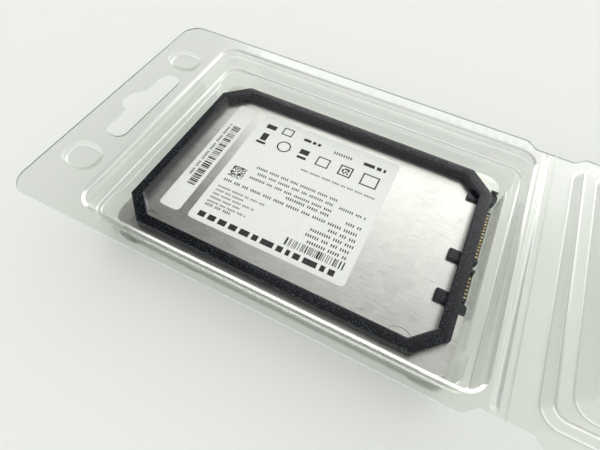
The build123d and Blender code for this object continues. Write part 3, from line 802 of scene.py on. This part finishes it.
def label_print():
    """All print as flat quads just above the paper, and one ring between two circles."""
    # Lines of print: from x0 to x1, at y, of one height
    rows = [
        (-29.1, -20.6, -17.2, 1.3), (3.8, 16.4, -15.1, 1.4), (2.3, 16.4, -13.0, 1.4), (2.9, 16.4, -10.9, 1.4),
        (7.7, 16.4, -8.8, 1.4), (-29.1, 16.4, -6.6, 1.4), (-8.7, 5.9, -4.1, 1.4), (11.3, 16.4, -4.1, 1.4),
        (-22.4, 5.9, -2.3, 1.3), (-20.9, 5.9, 0.0, 1.3), (7.4, 16.4, 0.0, 1.3), (-22.4, 5.9, 2.2, 1.3),
        (-9.6, 16.4, 8.2, 1.0), (-29.3, -16.2, -15.9, 0.95), (-29.3, -18.2, -14.35, 0.95),
        (-29.3, -15.2, -12.8, 0.95), (-29.3, -19.2, -11.25, 0.95), (-29.3, -13.2, -9.7, 0.95),
    ]
    sheets = [
        *(tick_row(*row) for row in rows),
        # The bold line, the wide stripes and the dots of the main label
        bar_row(-29.1, 16.4, -20.9, 1.9),
        stripes(-2.3, 16.6, -18.9, -16.3),
        dot_square(-29.1, -4.7, 4.6, 14),
        # The serial label
        turned(stripes(-13.6, 15.5, -38.6, -35.9)),
        turned(tick_row(-9.7, 15.0, -39.8, 1.3)),
        # Boxes, bars and dots at the main label's far end
        frame_box(9.0, 14.6, 11.6, 16.6, 0.45),
        frame_box(1.2, 5.6, 12.0, 16.4, 0.45),
        dot_square(2.2, 13.0, 2.4, 4),
        frame_box(-6.8, -2.4, 12.2, 16.2, 0.4),
        [(-13.4, -10.2, 12.2, 13.2), (-13.4, -10.2, 14.2, 16.4)],
        [(-28.6, -25.2, 12.0, 13.0), (-28.0, -25.8, 13.6, 17.0)],
        bar_row(7.5, 16.2, 20.2, 1.4),
        tick_row(-3.0, 4.6, 20.0, 1.6),
        bar_row(-14.5, -7.0, 20.6, 1.2),
        frame_box(-22.6, -18.8, 19.2, 22.6, 0.4),
        [(-28.6, -25.0, 19.4, 21.4)],
    ]
    corners = np.vstack(sheets)[:, [0, 2, 1, 2, 1, 3, 0, 3]].reshape(-1, 2)
    quads = np.arange(len(corners)).reshape(-1, 4).tolist()
    steps = 40
    ring = np.vstack([arc(-19.0, 14.3, radius, 0, 360, steps)[:-1] for radius in (1.95, 2.4)])
    band = ring_faces(2, steps)[:, ::-1].tolist()
    parts = [(at_height(corners, PRINT_TOP), quads), (at_height(ring, PRINT_TOP), band)]
    piece("label_print", parts, "tray", ink)


label_print()

# The camera stands where the photograph was taken from, solved on the drive's outline
camera_data = bpy.data.cameras.new("camera")
camera_data.lens = 23.952
camera_data.sensor_width = 36.0
camera_data.clip_start = 0.005
camera = bpy.data.objects.new("camera", camera_data)
camera.location = (0.023949, -0.068997, 0.106210)
camera.rotation_mode = "QUATERNION"
camera.rotation_quaternion = Quaternion((0.93346467, 0.27636577, 0.04548767, 0.22404583))
bpy.context.scene.collection.objects.link(camera)
bpy.context.scene.camera = camera

# Finishes of the CAD nodes' own meshes
finishes = {
    "case_bottom": aluminium, "case_cover": aluminium, "spacer_frame": abs_black, "plug_body": plug_black,
    "power_contacts": gold, "signal_contacts": gold, "main_label": paper, "serial_label": paper,
    "circuit_board": laminate, "board_screws": screw_steel, "thermal_pad": silicone, "capacitors": ceramic,
}
for node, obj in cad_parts.items():
    if node.endswith("chip") or node.startswith("flash") or node == "power_inductor":
        finishes[node] = chip_epoxy
    if node in finishes:
        obj.data.materials.clear()
        obj.data.materials.append(finishes[node])

# Stage: a pale matt table in a soft room
TABLE_HALF = 3
table = bpy.data.meshes.new("table")
table_corners = [(x * TABLE_HALF, y * TABLE_HALF, 0) for x, y in ((-1, -1), (1, -1), (1, 1), (-1, 1))]
table.from_pydata(table_corners, [], [(0, 1, 2, 3)])
table_obj = bpy.data.objects.new("table", table)
bpy.context.scene.collection.objects.link(table_obj)
table.materials.append(surface("pale_matt_table", Base_Color=tone("EEF0EE"), Roughness=0.9, IOR=1.35)[0])


def soft_room():
    """A pale room. A wide window lies behind the pack, up to about 60 degrees above the table, with a brighter
    sky low in it. The ceiling is dim, the wall behind the camera is pale, and the horizon is plain all round.
    Each border in it is a smooth step along an axis of the direction, or along the angle off a middle."""
    world = bpy.data.worlds.new("soft_room")
    tree = cleared(world)
    split = add(tree, "ShaderNodeSeparateXYZ", {"Vector": add(tree, "ShaderNodeTexCoord").outputs["Generated"]})
    x, y, z = (split.outputs[axis] for axis in "XYZ")
    turn = add(tree, "ShaderNodeMath", {0: x, 1: y}, operation="ARCTAN2").outputs["Value"]
    # The angles in radians, from +Y towards +X, of the middles of the window and the sky
    off = {}
    for name, middle in {"window": 0.45, "sky": 0.1}.items():
        side = add(tree, "ShaderNodeMath", {0: turn, 1: middle}, operation="SUBTRACT").outputs["Value"]
        off[name] = add(tree, "ShaderNodeMath", {0: side}, operation="ABSOLUTE").outputs["Value"]
    # Where each border starts and ends, and the values before and after it
    borders = {
        "window_sides": (off["window"], 1.13, 0.97, 0.0, 1.0),
        "window_top": (z, 0.92, 0.78, 0.0, 1.0),
        "sky_sides": (off["sky"], 0.75, 0.6, 0.0, 1.0),
        "sky_top": (z, 0.72, 0.6, 0.0, 1.0),
        "walls": (y, 0.15, -0.35, 0.42, 1.9),
        "ceiling": (x, -0.42, -0.15, 0.17, 0.46),
        "above_walls": (z, 0.5, 0.75, 0.0, 1.0),
        "above_horizon": (z, 0.1, 0.25, 0.0, 1.0),
    }
    border = {}
    for name, (along, start, end, before, after) in borders.items():
        border[name] = add(tree, "ShaderNodeMapRange", {
            "Value": along, "From Min": start, "From Max": end, "To Min": before, "To Max": after,
        }, interpolation_type="SMOOTHSTEP").outputs["Result"]
    # How far a direction lies in the window, or in the sky: inside its top and inside its sides
    lies_in = {}
    for name in off:
        lies_in[name] = add(tree, "ShaderNodeMath", {
            0: border[name + "_top"], 1: border[name + "_sides"]}, operation="MULTIPLY").outputs["Value"]
    # Strengths, mixed from the room, the window in it, and the plain horizon under both
    window_light, sky_light, horizon_light = 1.5, 3.1, 0.95
    room = add(tree, "ShaderNodeMix", {
        "Factor": border["above_walls"], "A": border["walls"], "B": border["ceiling"]}, data_type="FLOAT")
    glass = add(tree, "ShaderNodeMix", {
        "Factor": lies_in["sky"], "A": window_light, "B": sky_light}, data_type="FLOAT")
    upper = add(tree, "ShaderNodeMix", {
        "Factor": lies_in["window"], "A": room.outputs["Result"], "B": glass.outputs["Result"],
    }, data_type="FLOAT")
    strength = add(tree, "ShaderNodeMix", {
        "Factor": border["above_horizon"], "A": horizon_light, "B": upper.outputs["Result"]}, data_type="FLOAT")
    background = add(tree, "ShaderNodeBackground", {
        "Color": tone("FAFAF8"), "Strength": strength.outputs["Result"]})
    add(tree, "ShaderNodeOutputWorld", {"Surface": background.outputs["Background"]})
    bpy.context.scene.world = world


soft_room()
bpy.context.scene.view_settings.view_transform = "Standard"
